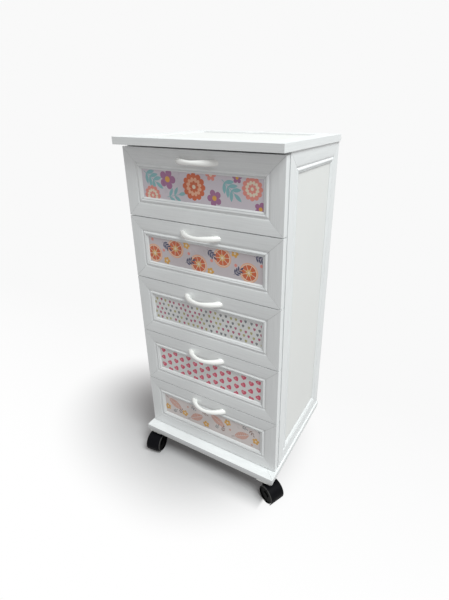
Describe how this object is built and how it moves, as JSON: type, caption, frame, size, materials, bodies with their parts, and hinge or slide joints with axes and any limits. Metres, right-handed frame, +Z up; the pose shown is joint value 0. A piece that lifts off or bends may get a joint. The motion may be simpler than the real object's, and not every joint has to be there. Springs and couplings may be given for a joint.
{
  "type": "plastic drawer tower",
  "caption": "White plastic drawer tower with mitred profile fronts, printed panels and bow handles, on hooded twin-wheel casters.",
  "frame": {"origin": "on the floor, under the middle of the base", "axes": "+Z up, drawers face and pull out towards -Y, +X to the right seen from the front"},
  "size_m": [0.4829, 0.4134, 0.9345],
  "materials": {
    "white_profile": "semi-gloss white PVC with a faint embossed grain",
    "white_sheet": "satin white PVC sheet",
    "printed_panel": "printed film under a satin gloss",
    "handle_plastic": "glossy warm white",
    "black_plastic": "satin black nylon",
    "zinc_steel": "zinc plated"
  },
  "bodies": {
    "cabinet": {"left_side_frame": "white_profile", "right_side_frame": "white_profile", "left_side_panel": "white_sheet", "right_side_panel": "white_sheet", "top_frame": "white_profile", "top_panel": "white_sheet", "base_frame": "white_profile", "base_panel": "white_sheet", "back_panel": "white_sheet", "left_runners": "white_sheet", "right_runners": "white_sheet", "corner_brackets": "white_sheet", "cabinet_screws": "zinc_steel", "caster_plates": "zinc_steel"},
    "front_left_swivel": {"caster_front_left_hood": "black_plastic", "caster_front_left_axle": "zinc_steel"},
    "front_left_wheel_left": {"caster_front_left_wheel_left": "black_plastic"},
    "front_left_wheel_right": {"caster_front_left_wheel_right": "black_plastic"},
    "front_right_swivel": {"caster_front_right_hood": "black_plastic", "caster_front_right_axle": "zinc_steel"},
    "front_right_wheel_left": {"caster_front_right_wheel_left": "black_plastic"},
    "front_right_wheel_right": {"caster_front_right_wheel_right": "black_plastic"},
    "rear_right_swivel": {"caster_rear_right_hood": "black_plastic", "caster_rear_right_axle": "zinc_steel"},
    "rear_right_wheel_left": {"caster_rear_right_wheel_left": "black_plastic"},
    "rear_right_wheel_right": {"caster_rear_right_wheel_right": "black_plastic"},
    "rear_left_swivel": {"caster_rear_left_hood": "black_plastic", "caster_rear_left_axle": "zinc_steel"},
    "rear_left_wheel_left": {"caster_rear_left_wheel_left": "black_plastic"},
    "rear_left_wheel_right": {"caster_rear_left_wheel_right": "black_plastic"},
    "drawer_1": {"drawer_1_front_frame": "white_profile", "drawer_1_front_panel": "printed_panel", "drawer_1_box": "white_sheet", "drawer_1_handle": "handle_plastic", "drawer_1_runner_tongues": "white_sheet", "drawer_1_fixings": "zinc_steel"},
    "drawer_2": {"drawer_2_front_frame": "white_profile", "drawer_2_front_panel": "printed_panel", "drawer_2_box": "white_sheet", "drawer_2_handle": "handle_plastic", "drawer_2_runner_tongues": "white_sheet", "drawer_2_fixings": "zinc_steel"},
    "drawer_3": {"drawer_3_front_frame": "white_profile", "drawer_3_front_panel": "printed_panel", "drawer_3_box": "white_sheet", "drawer_3_handle": "handle_plastic", "drawer_3_runner_tongues": "white_sheet", "drawer_3_fixings": "zinc_steel"},
    "drawer_4": {"drawer_4_front_frame": "white_profile", "drawer_4_front_panel": "printed_panel", "drawer_4_box": "white_sheet", "drawer_4_handle": "handle_plastic", "drawer_4_runner_tongues": "white_sheet", "drawer_4_fixings": "zinc_steel"},
    "drawer_5": {"drawer_5_front_frame": "white_profile", "drawer_5_front_panel": "printed_panel", "drawer_5_box": "white_sheet", "drawer_5_handle": "handle_plastic", "drawer_5_runner_tongues": "white_sheet", "drawer_5_fixings": "zinc_steel"}
  },
  "joints": [
    {"name": "front_left_swivel_turn", "type": "hinge", "parent": "cabinet", "child": "front_left_swivel", "pos_m": [-0.19, -0.157, 0.052], "axis": [0, 0, 1], "continuous": true},
    {"name": "front_left_wheel_left_roll", "type": "hinge", "parent": "front_left_swivel", "child": "front_left_wheel_left", "pos_m": [-0.20081, -0.17921, 0.025], "axis": [0.9848, 0.1736, 0], "continuous": true},
    {"name": "front_left_wheel_right_roll", "type": "hinge", "parent": "front_left_swivel", "child": "front_left_wheel_right", "pos_m": [-0.17225, -0.17418, 0.025], "axis": [0.9848, 0.1736, 0], "continuous": true},
    {"name": "front_right_swivel_turn", "type": "hinge", "parent": "cabinet", "child": "front_right_swivel", "pos_m": [0.19, -0.157, 0.052], "axis": [0, 0, 1], "continuous": true},
    {"name": "front_right_wheel_left_roll", "type": "hinge", "parent": "front_right_swivel", "child": "front_right_wheel_left", "pos_m": [0.20237, -0.17838, 0.025], "axis": [0.4067, 0.9135, 0], "continuous": true},
    {"name": "front_right_wheel_right_roll", "type": "hinge", "parent": "front_right_swivel", "child": "front_right_wheel_right", "pos_m": [0.21417, -0.15189, 0.025], "axis": [0.4067, 0.9135, 0], "continuous": true},
    {"name": "rear_right_swivel_turn", "type": "hinge", "parent": "cabinet", "child": "rear_right_swivel", "pos_m": [0.19, 0.157, 0.052], "axis": [0, 0, 1], "continuous": true},
    {"name": "rear_right_wheel_left_roll", "type": "hinge", "parent": "rear_right_swivel", "child": "rear_right_wheel_left", "pos_m": [0.16859, 0.16933, 0.025], "axis": [0.1045, -0.9945, 0], "continuous": true},
    {"name": "rear_right_wheel_right_roll", "type": "hinge", "parent": "rear_right_swivel", "child": "rear_right_wheel_right", "pos_m": [0.17162, 0.14049, 0.025], "axis": [0.1045, -0.9945, 0], "continuous": true},
    {"name": "rear_left_swivel_turn", "type": "hinge", "parent": "cabinet", "child": "rear_left_swivel", "pos_m": [-0.19, 0.157, 0.052], "axis": [0, 0, 1], "continuous": true},
    {"name": "rear_left_wheel_left_roll", "type": "hinge", "parent": "rear_left_swivel", "child": "rear_left_wheel_left", "pos_m": [-0.19516, 0.18116, 0.025], "axis": [-0.6691, -0.7431, 0], "continuous": true},
    {"name": "rear_left_wheel_right_roll", "type": "hinge", "parent": "rear_left_swivel", "child": "rear_left_wheel_right", "pos_m": [-0.21457, 0.15961, 0.025], "axis": [-0.6691, -0.7431, 0], "continuous": true},
    {"name": "drawer_1_slide", "type": "slide", "parent": "cabinet", "child": "drawer_1", "axis": [0, -1, 0], "range_m": [0, 0.22]},
    {"name": "drawer_2_slide", "type": "slide", "parent": "cabinet", "child": "drawer_2", "axis": [0, -1, 0], "range_m": [0, 0.22]},
    {"name": "drawer_3_slide", "type": "slide", "parent": "cabinet", "child": "drawer_3", "axis": [0, -1, 0], "range_m": [0, 0.22]},
    {"name": "drawer_4_slide", "type": "slide", "parent": "cabinet", "child": "drawer_4", "axis": [0, -1, 0], "range_m": [0, 0.22]},
    {"name": "drawer_5_slide", "type": "slide", "parent": "cabinet", "child": "drawer_5", "axis": [0, -1, 0], "range_m": [0, 0.22]}
  ]
}
